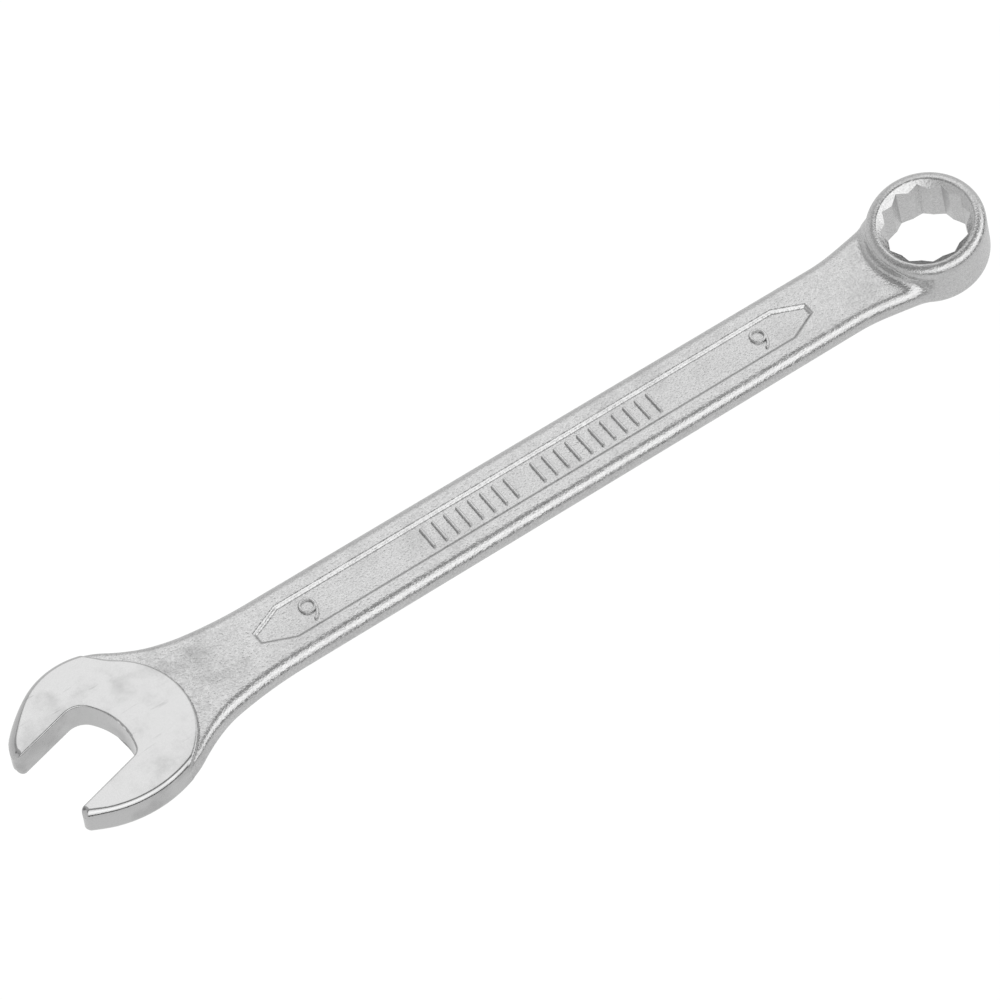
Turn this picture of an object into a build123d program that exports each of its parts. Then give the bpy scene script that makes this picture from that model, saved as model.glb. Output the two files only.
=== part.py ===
from build123d import *
import math
import os

# Combination wrench: an open end turned from the shank, a flat shank with a recessed panel on
# each side, and a cranked twelve-point ring. One forging, handed on as three regions that meet
# face to face.
#
# Shaping frame: the centre of the open head is the origin, the shank runs along +X in the plane
# Z = 0, and the ring leans up at the far end. The finished regions are moved at the very end, so
# that the row's origin is under the middle of the wrench's box.

# ---- Fastener ----------------------------------------------------------------------------------
HEXAGON = 9.0  # across the flats of the nut or bolt head that both ends fit
JAW_CLEARANCE = 0.05  # what the jaws are wider than the hexagon
SOCKET_CLEARANCE = 0.05  # what the socket is wider than the hexagon

# ---- Overall -----------------------------------------------------------------------------------
HEAD_SPACING = 112.2  # from the open head's centre to the ring's axis, along the shank

# ---- Open end ----------------------------------------------------------------------------------
JAW_WIDTH = 5.225  # from a jaw flat to the outside of the head, beside the head's centre
HEAD_THICKNESS = 3.9
HEAD_EDGE_ROUND = 0.9
MOUTH_ANGLE = 15.0  # between the mouth's centre line and the shank
MOUTH_SIDE_OFFSET = 0.16  # the mouth's centre line passes this far beside the head's centre
MOUTH_DEPTH = 1.65  # from the head's centre to the bottom of the throat
THROAT_RADIUS = 8.0  # curve of the throat's bottom
THROAT_CORNER = 1.2  # relief where the throat meets each jaw flat
JAW_NOSE_ROUND = 0.8  # rounding of each jaw's tip

# ---- Shank -------------------------------------------------------------------------------------
SHANK_WIDTH = 9.85
SHANK_THICKNESS = 2.95
SHANK_EDGE_ROUND = 1.3
SHANK_SIDE_LAND = 0.1  # least flat that the rounds leave on half of the shank's side
LONG_EDGE_HEADING = 0.5  # an edge whose direction has at least this share along X is a long edge
OPEN_FLARE_RADIUS = 36.0  # concave curve from the shank out to the open head
RING_FLARE_RADIUS = 40.0  # concave curve from the shank out to the ring

# ---- Recessed panels ---------------------------------------------------------------------------
PANEL_WIDTH = 5.05
PANEL_DEPTH = 0.38
PANEL_WALL_SLOPE = 50.0  # degrees off square, so that the forging leaves its die
PANEL_OPEN_MARGIN = 19.0  # from the open head's centre to the panel's tip
PANEL_RING_MARGIN = 17.8  # from the ring's axis to the panel's other tip
PANEL_TAPER_LENGTH = 3.9  # length of each tapering end
PANEL_TIP_WIDTH = 1.7

# ---- Raised marks in the panels ----------------------------------------------------------------
MARK_HEIGHT = 2.8  # across the shank
MARK_STROKE = 0.45
MARK_BELOW_SHOULDER = 0.04  # how far the marks stay under the shoulders beside the panel
FIGURE_LOOP_RADIUS = 0.62  # loop of the size figure, on the middle of its stroke
FIGURE_INSET = 7.15  # from each tip of the panel to the middle of the size figure
FIGURE_TAIL_MIDDLE = 0.6  # where the tail's middle and foot are, as shares of the loop's radius
FIGURE_TAIL_FOOT = 0.7
BAR_CORNER_SHARE = 0.45  # corner radius of a bar as a share of its stroke
BAR_GROUP_COUNTS = (8, 11)
BAR_PITCH = 1.6
BAR_GROUP_GAP = 3.6  # between the last bar of one group and the first of the next

# ---- Ring end ----------------------------------------------------------------------------------
RING_WALL = 1.725  # from a corner of the socket to the outside of the ring
RING_TILT = 15.0  # crank of the ring out of the shank's plane
RING_TOP = 5.2  # from the shank's plane to the ring's upper face, along the ring's axis
RING_BOTTOM = -2.2  # the same to its lower face
RING_OUTER_ROUND = 1.3
RING_FACE_LAND = 0.1  # least flat left between the socket's cone and the outer round
SOCKET_LEAD_IN = 0.6  # depth of the cone at each mouth of the socket
SOCKET_LEAD_CLEARANCE = 0.2  # how far the cone's mouth is outside the socket's corners
RING_VALLEY_ROUND = 1.5  # soft corner where the ring rises out of the shank
ON_WALL = 0.001  # how near a point is to a wall to count as on it
WALL_SAMPLES = (0.1, 0.5, 0.9)  # shares of an edge's length at which that is measured
SOCKET_POINT_ANGLE = 30.0  # between neighbouring points of the twelve-point socket

# ---- Regions -----------------------------------------------------------------------------------
REGION_CUT_CLEARANCE = 1.6  # from each tip of the panel to the cut beside it

# ---- Worked out --------------------------------------------------------------------------------
jaw_gap = HEXAGON + JAW_CLEARANCE
socket_gap = HEXAGON + SOCKET_CLEARANCE
socket_corner_radius = socket_gap / 2 / math.cos(math.radians(SOCKET_POINT_ANGLE))
socket_ridge_radius = socket_gap / 2 / math.cos(math.radians(SOCKET_POINT_ANGLE / 2))
head_radius = jaw_gap / 2 + JAW_WIDTH
ring_radius = socket_corner_radius + RING_WALL
ring_round = min(RING_OUTER_ROUND, RING_WALL - SOCKET_LEAD_CLEARANCE - RING_FACE_LAND)
shank_round = min(SHANK_EDGE_ROUND, SHANK_THICKNESS / 2 - SHANK_SIDE_LAND)
panel_start = PANEL_OPEN_MARGIN
panel_end = HEAD_SPACING - PANEL_RING_MARGIN
panel_middle = (panel_start + panel_end) / 2
shoulder = SHANK_THICKNESS / 2
panel_floor = shoulder - PANEL_DEPTH
mark_top = shoulder - MARK_BELOW_SHOULDER
mouth_turn = Rot(0, 0, MOUTH_ANGLE) * Pos(0, -MOUTH_SIDE_OFFSET, 0)
ring_place = Pos(HEAD_SPACING, 0, 0) * Rot(0, -RING_TILT, 0)


def neck_plan(head_x, toward_shank, round_radius, flare_radius):
    """Plan of a neck: a concave curve on each side that touches both the head and the shank."""
    curve_y = SHANK_WIDTH / 2 + flare_radius
    reach = math.sqrt((flare_radius + round_radius) ** 2 - curve_y**2)
    touch_x = reach * round_radius / (flare_radius + round_radius)
    touch_y = curve_y * round_radius / (flare_radius + round_radius)
    turn = math.acos(curve_y / (flare_radius + round_radius)) / 2
    middle_x = reach - flare_radius * math.sin(turn)
    middle_y = curve_y - flare_radius * math.cos(turn)
    upper = ThreePointArc((touch_x, touch_y), (middle_x, middle_y), (reach, SHANK_WIDTH / 2))
    end = Line((reach, SHANK_WIDTH / 2), (reach, -SHANK_WIDTH / 2))
    lower = ThreePointArc((reach, -SHANK_WIDTH / 2), (middle_x, -middle_y), (touch_x, -touch_y))
    chord = Line((touch_x, -touch_y), (touch_x, touch_y))
    plan = make_face([upper, end, lower, chord])
    return Pos(head_x, 0) * (plan if toward_shank > 0 else Rot(0, 0, 180) * plan)


def make_shank_blank():
    """The shank with both necks, as one slab with rounded long edges."""
    plan = Pos(HEAD_SPACING / 2, 0) * Rectangle(HEAD_SPACING, SHANK_WIDTH)
    plan += neck_plan(0, 1, head_radius, OPEN_FLARE_RADIUS)
    plan += neck_plan(HEAD_SPACING, -1, ring_radius, RING_FLARE_RADIUS)
    slab = Pos(0, 0, -shoulder) * extrude(plan, SHANK_THICKNESS)
    rims = slab.faces().filter_by(Axis.Z).edges()
    long_edges = [edge for edge in rims if abs((edge @ 1 - edge @ 0).normalized().X) > LONG_EDGE_HEADING]
    return fillet(long_edges, shank_round)


def make_open_head_blank():
    """The open head before its mouth is cut: a thick disc with rounded edges."""
    disc = Cylinder(head_radius, HEAD_THICKNESS)
    return fillet(disc.edges().filter_by(GeomType.CIRCLE), HEAD_EDGE_ROUND)


def mouth_plan():
    """The open mouth in its own frame: +X into the throat, with rounded jaw noses."""
    half_gap = jaw_gap / 2
    throat_centre = MOUTH_DEPTH - THROAT_RADIUS
    slot_length = head_radius + MOUTH_DEPTH
    slot = Pos(MOUTH_DEPTH - slot_length / 2, 0) * Rectangle(slot_length, jaw_gap)
    beyond_throat = Pos(throat_centre + slot_length, 0) * Rectangle(2 * slot_length, jaw_gap)
    slot = slot - (beyond_throat - Pos(throat_centre, 0) * Circle(THROAT_RADIUS))
    corners = [v for v in slot.vertices() if v.X > throat_centre + THROAT_RADIUS / 2]
    slot = fillet(corners, THROAT_CORNER)
    for side in (-1, 1):
        slot = slot + nose_plan(side, half_gap)
    return slot


def nose_plan(side, half_gap):
    """What rounds one jaw's tip: the corner outside an arc that touches its flat and the head."""
    head_y = MOUTH_SIDE_OFFSET
    arc_y = side * (half_gap + JAW_NOSE_ROUND)
    arc_x = -math.sqrt((head_radius - JAW_NOSE_ROUND) ** 2 - (arc_y - head_y) ** 2)
    outward = Vector(arc_x, arc_y - head_y).normalized()
    on_flat = (arc_x, side * half_gap)
    on_arc = Vector(arc_x, arc_y) + outward * JAW_NOSE_ROUND
    beyond = Vector(0, head_y) + outward * (head_radius + JAW_NOSE_ROUND)
    chord = Vector(on_flat) - Vector(arc_x, arc_y) + outward * JAW_NOSE_ROUND
    arc_middle = Vector(arc_x, arc_y) + chord.normalized() * JAW_NOSE_ROUND
    outside_x = -2 * head_radius
    outline = [
        ThreePointArc(on_flat, arc_middle, on_arc),
        Line(on_arc, beyond),
        Line(beyond, (outside_x, beyond.Y)),
        Line((outside_x, beyond.Y), (outside_x, side * half_gap)),
        Line((outside_x, side * half_gap), on_flat),
    ]
    return make_face(outline)


def make_mouth_cutter():
    """The mouth as a solid to take away, turned out of the shank's line."""
    cutter = Pos(0, 0, -HEAD_THICKNESS) * extrude(mouth_plan(), 2 * HEAD_THICKNESS)
    return mouth_turn * cutter


def panel_plan():
    """Plan of a recessed panel: a long strip whose ends taper to a blunt tip."""
    half_width = PANEL_WIDTH / 2
    half_tip = PANEL_TIP_WIDTH / 2
    upper = [
        (panel_start, half_tip),
        (panel_start + PANEL_TAPER_LENGTH, half_width),
        (panel_end - PANEL_TAPER_LENGTH, half_width),
        (panel_end, half_tip),
    ]
    lower = [(x, -y) for x, y in reversed(upper)]
    return make_face(Polyline(*upper, *lower, close=True))


def size_figure():
    """The figure 9 of the wrench's size: a closed loop with a curved tail."""
    loop_y = MARK_HEIGHT / 2 - FIGURE_LOOP_RADIUS - MARK_STROKE / 2
    foot_y = -MARK_HEIGHT / 2 + MARK_STROKE / 2
    loop = Pos(0, loop_y) * Circle(FIGURE_LOOP_RADIUS + MARK_STROKE / 2)
    tail_path = ThreePointArc(
        (FIGURE_LOOP_RADIUS, loop_y),
        (FIGURE_LOOP_RADIUS * FIGURE_TAIL_MIDDLE, (loop_y + foot_y) / 2 - MARK_STROKE),
        (-FIGURE_LOOP_RADIUS * FIGURE_TAIL_FOOT, foot_y),
    )
    figure = loop + trace(tail_path, MARK_STROKE)
    return figure - Pos(0, loop_y) * Circle(FIGURE_LOOP_RADIUS - MARK_STROKE / 2)


def raised_marks():
    """Plans of everything that stands up in a panel: two size figures and two groups of bars."""
    marks = []
    for figure_x in (panel_start + FIGURE_INSET, panel_end - FIGURE_INSET):
        marks.append(Pos(figure_x, 0) * size_figure())
    bar = RectangleRounded(MARK_STROKE, MARK_HEIGHT, MARK_STROKE * BAR_CORNER_SHARE)
    row_length = (sum(BAR_GROUP_COUNTS) - len(BAR_GROUP_COUNTS)) * BAR_PITCH + BAR_GROUP_GAP
    bar_x = panel_middle - row_length / 2
    for count in BAR_GROUP_COUNTS:
        for _ in range(count):
            marks.append(Pos(bar_x, 0) * bar)
            bar_x += BAR_PITCH
        bar_x += BAR_GROUP_GAP - BAR_PITCH
    return marks


def cut_panel(wrench):
    """Both panels with their raised marks, the lower one turned over about the shank's axis."""
    recess = Pos(0, 0, shoulder) * extrude(panel_plan(), -PANEL_DEPTH, taper=PANEL_WALL_SLOPE)
    marks = [Pos(0, 0, panel_floor) * extrude(plan, mark_top - panel_floor) for plan in raised_marks()]
    for side in (Rot(0, 0, 0), Rot(180, 0, 0)):
        wrench = wrench - side * recess
        wrench = wrench + [side * mark for mark in marks]
    return wrench


def make_ring_blank():
    """The ring before broaching, in its own frame: a short cylinder with rounded outer edges."""
    height = RING_TOP - RING_BOTTOM
    blank = Pos(0, 0, (RING_TOP + RING_BOTTOM) / 2) * Cylinder(ring_radius, height)
    return fillet(blank.edges().filter_by(GeomType.CIRCLE), ring_round)


def make_socket_cutter():
    """The twelve-point socket: two hexagons turned by 30 degrees, with a cone at each mouth."""
    hexagon = RegularPolygon(socket_gap / 2, 6, major_radius=False)
    points = hexagon + Rot(0, 0, SOCKET_POINT_ANGLE) * hexagon
    reach = RING_TOP - RING_BOTTOM + 2 * ring_radius
    socket = Pos(0, 0, -reach / 2) * extrude(points, reach)
    mouth_radius = socket_corner_radius + SOCKET_LEAD_CLEARANCE
    taper_height = SOCKET_LEAD_IN * mouth_radius / (mouth_radius - socket_ridge_radius)
    cone = Cone(0, mouth_radius, taper_height)
    upper = Pos(0, 0, RING_TOP - taper_height / 2) * cone
    lower = Pos(0, 0, RING_BOTTOM + taper_height / 2) * Rot(180, 0, 0) * cone
    return socket + upper + lower


def distance_from_ring_axis(point):
    """How far a point is from the ring's axis."""
    in_ring_frame = (ring_place.inverse() * Pos(*point)).position
    return math.hypot(in_ring_frame.X, in_ring_frame.Y)


def join_ring(shank_blank, ring_blank):
    """Shank and ring as one body, with a soft valley all along the line where they meet."""
    joined = shank_blank + ring_blank
    valley = []
    for edge in joined.edges().filter_by(lambda e: e.geom_type in (GeomType.ELLIPSE, GeomType.BSPLINE)):
        samples = [distance_from_ring_axis(edge.position_at(share)) for share in WALL_SAMPLES]
        if all(abs(distance - ring_radius) < ON_WALL for distance in samples):
            valley.append(edge)
    return fillet(valley, RING_VALLEY_ROUND)


def make_wrench():
    """The whole forging in the shaping frame."""
    wrench = join_ring(make_shank_blank(), ring_place * make_ring_blank())
    wrench = wrench + make_open_head_blank()
    wrench = wrench - make_mouth_cutter()
    wrench = wrench - ring_place * make_socket_cutter()
    return cut_panel(wrench)


wrench = make_wrench()

open_cut = Plane.YZ.offset(panel_start - REGION_CUT_CLEARANCE)
ring_cut = Plane.YZ.offset(panel_end + REGION_CUT_CLEARANCE)
past_open_cut = split(wrench, bisect_by=open_cut, keep=Keep.TOP)
regions = {
    "open_end_head": split(wrench, bisect_by=open_cut, keep=Keep.BOTTOM),
    "shank": split(past_open_cut, bisect_by=ring_cut, keep=Keep.BOTTOM),
    "ring_head": split(past_open_cut, bisect_by=ring_cut, keep=Keep.TOP),
}

box = wrench.bounding_box()
to_row_origin = Pos(-box.center().X, -box.center().Y, -box.min.Z)
os.makedirs("parts", exist_ok=True)
for node, region in regions.items():
    export_step(to_row_origin * region, f"parts/{node}.step")
    print(node, "solids", len(region.solids()), "volume", round(region.volume, 1))
print("box", box.size, "shaping frame's origin in the row", to_row_origin.position)
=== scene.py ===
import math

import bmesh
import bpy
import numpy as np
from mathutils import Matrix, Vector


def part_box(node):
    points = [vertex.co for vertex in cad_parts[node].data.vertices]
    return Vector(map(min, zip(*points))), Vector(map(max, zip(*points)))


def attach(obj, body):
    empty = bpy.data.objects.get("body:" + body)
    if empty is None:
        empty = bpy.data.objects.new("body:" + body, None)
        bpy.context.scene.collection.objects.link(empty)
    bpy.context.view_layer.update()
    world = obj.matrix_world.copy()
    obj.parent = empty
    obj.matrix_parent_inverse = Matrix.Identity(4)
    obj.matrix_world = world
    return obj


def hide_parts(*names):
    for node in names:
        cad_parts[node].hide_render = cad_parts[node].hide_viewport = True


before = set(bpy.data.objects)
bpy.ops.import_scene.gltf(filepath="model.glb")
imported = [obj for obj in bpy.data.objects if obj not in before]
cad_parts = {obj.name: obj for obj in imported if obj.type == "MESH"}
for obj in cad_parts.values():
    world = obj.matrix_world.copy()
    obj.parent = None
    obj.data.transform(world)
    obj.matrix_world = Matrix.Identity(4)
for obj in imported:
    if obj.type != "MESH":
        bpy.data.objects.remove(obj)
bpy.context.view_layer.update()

# %% [markdown]
# # A combination wrench, and what this script makes
# The object is one steel forging with an open end, a flat shank and a cranked ring. The CAD parts
# give its size and place. This script lays finished surfaces over them: the open head with its
# polished faces, the shank with its recessed panels, the ring with its twelve-point socket, and
# the small raised marks. Lengths are in millimetres where nothing else is said, measured from the
# open head's centre at the middle of the shank's thickness. One function turns them into metres.

MM = 0.001
OPEN_CUT_X = 17.4  # from the open head's centre to the end of the CAD part open_end_head
head_low, head_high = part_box("open_end_head")
origin = np.array([head_high.x / MM - OPEN_CUT_X, 0.0, (head_low.z + head_high.z) / 2 / MM])
print("open head's centre in the row frame, mm:", origin.round(3))


def to_row(points):
    """Points in mm from the open head's centre, as metres in the row frame: (point + origin) / 1000."""
    return (np.asarray(points, float) + origin) * MM


# %% [markdown]
# ## Building blocks for surfaces
# Every piece here is a grid of points worked out from a formula, so the same few helpers turn
# arrays of points into closed meshes. A plan outline is walked as a chain of arcs, the way a
# draughtsman lays out a forging: each arc starts where the last one ended and in its direction.

# %% Helpers for outlines and meshes
SAMPLE_STEP = 0.02
BLOCK = 500  # points whose distances are worked out at once
WELD_REACH = 2e-7  # metres
THIN_FACE = 1e-8  # metres


def arc_chain(start, heading, arcs):
    """Points along a chain of tangent arcs. Each arc is (radius, turn in degrees), left turns positive:
    centre = point + radius * left normal, and point(t) = centre turned by t."""
    point, angle = np.array(start, float), math.radians(heading)
    points = [point[None]]
    for radius, turn in arcs:
        side = math.copysign(1, turn)
        left = np.array([-math.sin(angle), math.cos(angle)])
        centre = point + side * radius * left
        sweep = math.radians(turn)
        t = np.linspace(0, sweep, max(4, int(abs(sweep) * radius / SAMPLE_STEP)))[1:, None]
        spoke = point - centre
        turned = np.array([-spoke[1], spoke[0]])
        points.append(centre + np.cos(t) * spoke + np.sin(t) * turned)
        point, angle = points[-1][-1], angle + sweep
    return np.concatenate(points)


def along(points, shares):
    """Points of a polyline at the given shares of its length, by linear interpolation over arc length."""
    steps = np.linalg.norm(np.diff(points, axis=0), axis=1)
    length = np.concatenate([[0], np.cumsum(steps)])
    at = np.asarray(shares) * length[-1]
    return np.stack([np.interp(at, length, points[:, k]) for k in range(points.shape[1])], axis=-1)


def distance_to(x, y, outline):
    """Distance from each point (x, y) to the nearest sample of an outline, in blocks to save memory."""
    flat = np.stack([x.ravel(), y.ravel()], axis=1)
    near = [
        np.sqrt(((block[:, None] - outline[None]) ** 2).sum(2).min(1))
        for block in np.array_split(flat, max(1, len(flat) // BLOCK))
    ]
    return np.concatenate(near).reshape(x.shape)


def quarter_drop(distance, reach, depth):
    """How far a rounded edge falls below its face, a quarter ellipse:
    depth * (1 - sqrt(1 - (1 - distance/reach)^2))."""
    inside = 1 - np.clip(distance / reach, 0, 1)
    return depth * (1 - np.sqrt(1 - inside**2))


def smooth(value, low, high):
    """The smooth step 3t^2 - 2t^3 between low and high, with t limited to 0..1."""
    t = np.clip((value - low) / (high - low), 0, 1)
    return t * t * (3 - 2 * t)


def grid_faces(rows, columns, start=0, closed_rows=False, closed_columns=False):
    """Four-sided faces of a grid of rows x columns points numbered row by row from start."""
    i = np.arange(rows if closed_rows else rows - 1)[:, None]
    j = np.arange(columns if closed_columns else columns - 1)[None]
    i2, j2 = (i + 1) % rows, (j + 1) % columns
    corners = np.broadcast_arrays(
        i * columns + j, i * columns + j2, i2 * columns + j2, i2 * columns + j
    )
    return np.stack(corners, -1).reshape(-1, 4) + start


def make_piece(name, points, faces, node=None, slot="satin_chrome", sharp_degrees=40):
    """A mesh object at the origin from points in mm: welded, facing outward, smooth but for sharp edges."""
    mesh = bpy.data.meshes.new(name)
    mesh.from_pydata(to_row(points).tolist(), [], faces.tolist())
    piece = bpy.data.objects.new(name, mesh)
    bpy.context.scene.collection.objects.link(piece)
    weld_and_orient(mesh)
    mesh.polygons.foreach_set("use_smooth", np.ones(len(mesh.polygons), bool))
    mesh.set_sharp_from_angle(angle=math.radians(sharp_degrees))
    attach(piece, "root")
    if node:
        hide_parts(node)
    size = np.ptp(np.array(points), axis=0)
    print(name, "faces", len(mesh.polygons), "size in mm", size.round(2))
    return piece


def weld_and_orient(mesh):
    """Joins points that coincide, drops faces without area and turns all faces outward."""
    bm = bmesh.new()
    bm.from_mesh(mesh)
    bmesh.ops.remove_doubles(bm, verts=bm.verts, dist=WELD_REACH)
    bmesh.ops.dissolve_degenerate(bm, edges=bm.edges, dist=THIN_FACE)
    bmesh.ops.recalc_face_normals(bm, faces=bm.faces)
    open_edges = sum(1 for e in bm.edges if len(e.link_faces) != 2)
    print(mesh.name, "edges that don't join two faces:", open_edges)
    bm.to_mesh(mesh)
    bm.free()


def slab_mesh(x, y, top, bottom):
    """A closed slab over a plan grid: sheets at z = top and z = bottom and a wall round the rim."""
    rows, columns = x.shape
    points = np.concatenate([np.stack([x, y, z], -1).reshape(-1, 3) for z in (top, bottom)])
    sheet = grid_faces(rows, columns)
    below = rows * columns
    index = np.arange(below).reshape(rows, columns)
    rim = np.concatenate([index[0, :-1], index[:-1, -1], index[-1, :0:-1], index[:0:-1, 0]])
    ahead = np.roll(rim, -1)
    wall = np.stack([rim, ahead, ahead + below, rim + below], -1)
    return points, np.concatenate([sheet, sheet[:, ::-1] + below, wall])


# %% [markdown]
# ## The open head
# The head is forged with the shank, its two faces are ground flat and polished, and the mouth is
# milled out last. Its outline is two chains of arcs from the neck to the jaw noses. Each half of
# the head is a grid of cross lines from the outline to the mouth, then to the middle of the neck.
# The edge round is worked out from the distance to the outline, so it follows every curve, and it
# stops at each nose where the milled side begins.

# %% Open head: plan
HALF_SHANK = 4.93
MOUTH_ANGLE = 15
MOUTH_TURN = math.radians(MOUTH_ANGLE)


def with_nose(arcs, nose_radius, whole_turn):
    """The arcs of a jaw's outline and its nose, which takes what is left of the whole turn."""
    return arcs + [(nose_radius, whole_turn - sum(turn for _, turn in arcs))]


near_arcs = [(50.0, 10.0), (18.7, 20.0), (13.74, -53.0), (30.0, -3.51)]
near_outline = arc_chain((22.08, -HALF_SHANK), 180, with_nose(near_arcs, 0.7, MOUTH_ANGLE - 180))
far_arcs = [(50.0, -12.5), (13.0, -22.5), (8.86, 66.0), (17.0, 17.53), (4.2, 30.0)]
far_outline = arc_chain((20.8, HALF_SHANK), 180, with_nose(far_arcs, 0.8, MOUTH_ANGLE + 180))
MOUTH_OFFSET = -0.16
HALF_GAP = 4.525
MOUTH_DEPTH = 1.65
THROAT_RADIUS, THROAT_CORNER = 8.0, {-1: 1.2, 1: 2.3}  # corner radius on the near (-1) and far (1) side


def mouth_side(side):
    """One side of the mouth from its open end to the middle of the throat: flat, corner arc, throat arc."""
    throat, corner = THROAT_RADIUS, THROAT_CORNER[side]
    centre_x = MOUTH_DEPTH - throat
    corner_y = HALF_GAP - corner
    corner_x = centre_x + math.sqrt((throat - corner) ** 2 - corner_y**2)
    lean = math.degrees(math.asin(corner_y / (throat - corner)))
    path = arc_chain((corner_x, HALF_GAP), 0, [(corner, lean - 90), (throat, -lean)])
    path[:, 1] = side * path[:, 1] + MOUTH_OFFSET
    across, ahead = math.sin(MOUTH_TURN), math.cos(MOUTH_TURN)
    return path @ np.array([[ahead, across], [-across, ahead]])


STRIP_MOUTH_ROWS, STRIP_NECK_ROWS = 110, 170
THROAT_SHARE = {-1: 10.7, 1: 11.5}  # outline length from nose to the cross line at the throat's middle
NOSE_SPLIT = {-1: 42, 1: 55}  # the outline's sample where the rounded side of the nose ends
MOUTH_WALL_SAMPLES = 700


def strip(side, outline):
    """One half of the head: its outline, its line along the mouth, and both ends of each cross line."""
    from_flat = outline[::-1]
    outer = from_flat[NOSE_SPLIT[side]:]
    step = np.concatenate([[0], np.cumsum(np.linalg.norm(np.diff(outer, axis=0), axis=1))])
    half = len(outer) // 2
    cut_at = np.interp(OPEN_CUT_X, outer[half:, 0], step[half:])
    mouth = mouth_side(side)
    inner = np.concatenate([from_flat[NOSE_SPLIT[side]::-1], mouth])
    first = np.linspace(0, THROAT_SHARE[side], STRIP_MOUTH_ROWS)
    second = np.linspace(THROAT_SHARE[side], cut_at, STRIP_NECK_ROWS)[1:]
    at = np.concatenate([first, second])
    outer_rows = along(outer, at / step[-1])
    inner_mouth = along(inner, np.linspace(0, 1, STRIP_MOUTH_ROWS))
    share = np.linspace(0, 1, STRIP_NECK_ROWS)[1:, None]
    inner_neck = mouth[-1] + (np.array([OPEN_CUT_X, 0.0]) - mouth[-1]) * share
    inner_rows = np.concatenate([inner_mouth, inner_neck])
    return outer, inner, outer_rows, inner_rows


EDGE_COLUMNS, MIDDLE_COLUMNS, LIP_COLUMNS = 14, 36, 8
EDGE_BAND, LIP_BAND = 1.5, 0.6  # width of the crowded columns
EDGE_LIMIT, LIP_LIMIT = 0.4, 0.2  # and their greatest shares of a cross line
SHORTEST_LINE = 1e-6  # keeps a cross line without length from a division by zero


def across(outer_rows, inner_rows):
    """Points on each cross line, crowded towards its outer end and its mouth end."""
    length = np.linalg.norm(inner_rows - outer_rows, axis=1)[:, None]
    edge = np.minimum(EDGE_BAND, EDGE_LIMIT * length)
    lip = np.minimum(LIP_BAND, LIP_LIMIT * length)
    quarter = np.linspace(0, math.pi / 2, EDGE_COLUMNS + 1)
    lip_quarter = np.linspace(0, math.pi / 2, LIP_COLUMNS + 1)[1:]
    middle = np.linspace(0, 1, MIDDLE_COLUMNS + 1)[1:]
    reach = [
        edge * (1 - np.cos(quarter)),
        edge + (length - lip - edge) * middle,
        length - lip * (1 - np.sin(lip_quarter)),
    ]
    share = np.concatenate(reach, axis=1) / np.maximum(length, SHORTEST_LINE)
    return outer_rows[:, None] + (inner_rows - outer_rows)[:, None] * share[..., None]


# %% [markdown]
# ## The open head's faces and edges
# Grinding leaves each face flat up to a crisp line, and the forged round begins below it. The
# height of the metal is the larger of two surfaces, the neck's and the face's. The face falls by
# its edge round, by the step at its circle and by the broken edges of the mouth. The underside is
# the same surface mirrored.

# %% Open head: heights and mesh
HALF_HEAD, HALF_THICK = 1.95, 1.475
HEAD_ROUND, HEAD_ROUND_REACH = 0.9, 0.82
NOSE_ROUND, NOSE_REACH = 1.05, 1.2
SHANK_WALL = 0.12  # half the height left upright on the shank's narrow sides
SHANK_ROUND_REACH = 1.4
NOSE_START, NOSE_FULL = -4.0, -8.0  # between these places along x the round grows to the nose's
NECK_FULL, NECK_START = 6.0, 13.0  # between these the shank's edge turns into the head's wall
FACE_CENTRE, FACE_RADIUS = (0.2, -1.0), 9.25
FACE_WIDENING, WIDEN_FROM, WIDEN_TO = 3.0, 55, 100  # beyond the jaws' shoulders, in degrees round
FACE_STEP, FACE_STEP_DEPTH = 0.36, 0.5
LIPS = ((0.14, 0.12), (1.1, 0.05))  # reach and depth of the mouth's broken edge and of its wear
WALL_INSET = 0.08  # extra lines this far from a wall's rims keep the shading of the rims narrow
EDGE_CUT = 0.05  # the flat cuts off the gentlest start of the edge round, which leaves a crisp line
EDGE_STRETCH = 1.05


def neck_height(x, distance):
    """Height of the neck's top: the shank's bullnose edge turns into the upright wall near the head."""
    near_head = 1 - smooth(x, NECK_FULL, NECK_START)
    wall = SHANK_WALL + (HALF_HEAD - HEAD_ROUND - SHANK_WALL) * near_head
    reach = SHANK_ROUND_REACH + (HEAD_ROUND_REACH - SHANK_ROUND_REACH) * near_head
    return HALF_THICK - quarter_drop(distance, reach, 1.0) * (HALF_THICK - wall)


def face_radius(x, y):
    """Radius of the face's edge in the direction of (x, y): a circle that widens beyond the jaws."""
    angle = np.degrees(np.abs(np.arctan2(y - FACE_CENTRE[1], x - FACE_CENTRE[0])))
    return FACE_RADIUS + FACE_WIDENING * smooth(angle, WIDEN_FROM, WIDEN_TO)


def inside_face(x, y):
    """How far (x, y) is inside the polished face's edge."""
    return face_radius(x, y) - np.hypot(x - FACE_CENTRE[0], y - FACE_CENTRE[1])


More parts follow.
